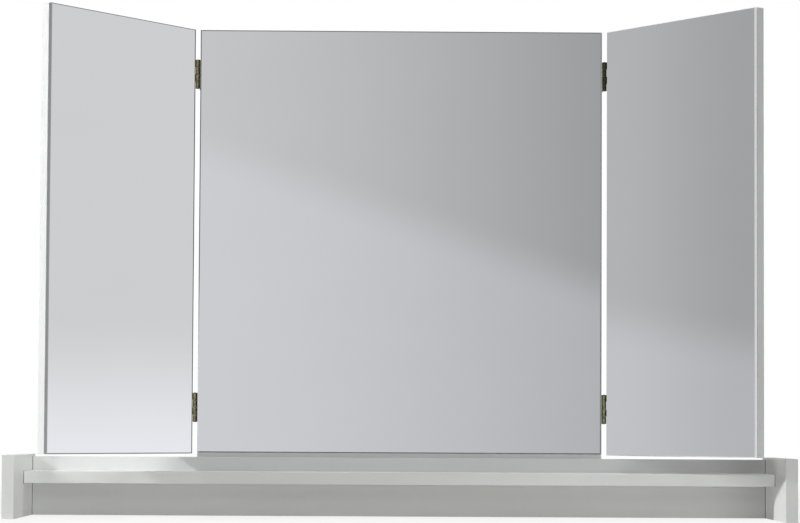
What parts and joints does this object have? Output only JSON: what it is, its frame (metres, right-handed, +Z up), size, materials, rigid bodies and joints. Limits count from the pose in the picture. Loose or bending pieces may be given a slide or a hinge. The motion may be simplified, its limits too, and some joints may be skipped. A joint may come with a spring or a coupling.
{
  "type": "makeup mirror",
  "caption": "Free-standing makeup mirror: a fixed centre mirror with hinged mirror wings that fold forward, on a low white shelf base that rests on a table.",
  "frame": {"origin": "middle of the back panel's underside, on the table", "axes": "+X to the right as seen from the front, +Y away from the person in front, +Z up"},
  "size_m": [1.036, 0.2364, 0.67],
  "materials": {
    "white_board": "white satin coating on board",
    "white_edging": "white satin edge band",
    "mirror_glass": "silvered clear glass",
    "mounting_tape": "dark foam tape",
    "hinge_brass": "dark olive brass",
    "hinge_pin": "dark olive brass",
    "brass_screws": "dark olive brass",
    "steel_screws": "zinc plated",
    "cam_metal": "bare die cast zinc",
    "dowel_wood": "plain beech"
  },
  "bodies": {
    "base": {"left_end_panel": "white_board", "right_end_panel": "white_board", "back_panel": "white_board", "shelf": "white_board", "centre_board": "white_board", "left_end_edging": "white_edging", "right_end_edging": "white_edging", "back_panel_edging": "white_edging", "shelf_edging": "white_edging", "centre_board_edging": "white_edging", "centre_mirror_glass": "mirror_glass", "centre_mirror_tape": "mounting_tape", "left_lower_hinge_fixed_leaf": "hinge_brass", "left_upper_hinge_fixed_leaf": "hinge_brass", "right_lower_hinge_fixed_leaf": "hinge_brass", "right_upper_hinge_fixed_leaf": "hinge_brass", "left_lower_hinge_pin": "hinge_pin", "left_upper_hinge_pin": "hinge_pin", "right_lower_hinge_pin": "hinge_pin", "right_upper_hinge_pin": "hinge_pin", "left_fixed_leaf_screws": "brass_screws", "right_fixed_leaf_screws": "brass_screws", "centre_board_screws": "steel_screws", "shelf_screws": "steel_screws", "cam_bolts": "steel_screws", "cam_locks": "cam_metal", "wooden_dowels": "dowel_wood"},
    "left_wing": {"left_wing_board": "white_board", "left_wing_edging": "white_edging", "left_wing_glass": "mirror_glass", "left_wing_tape": "mounting_tape", "left_lower_hinge_wing_leaf": "hinge_brass", "left_upper_hinge_wing_leaf": "hinge_brass", "left_wing_leaf_screws": "brass_screws"},
    "right_wing": {"right_wing_board": "white_board", "right_wing_edging": "white_edging", "right_wing_glass": "mirror_glass", "right_wing_tape": "mounting_tape", "right_lower_hinge_wing_leaf": "hinge_brass", "right_upper_hinge_wing_leaf": "hinge_brass", "right_wing_leaf_screws": "brass_screws"}
  },
  "joints": [
    {"name": "left_wing_hinge", "type": "hinge", "parent": "base", "child": "left_wing", "pos_m": [-0.2811, 0.00225, 0.378], "axis": [0, 0, 1], "range_deg": [-51.7, 128.3]},
    {"name": "right_wing_hinge", "type": "hinge", "parent": "base", "child": "right_wing", "pos_m": [0.2811, 0.00225, 0.378], "axis": [0, 0, -1], "range_deg": [-51.2, 128.8]}
  ]
}
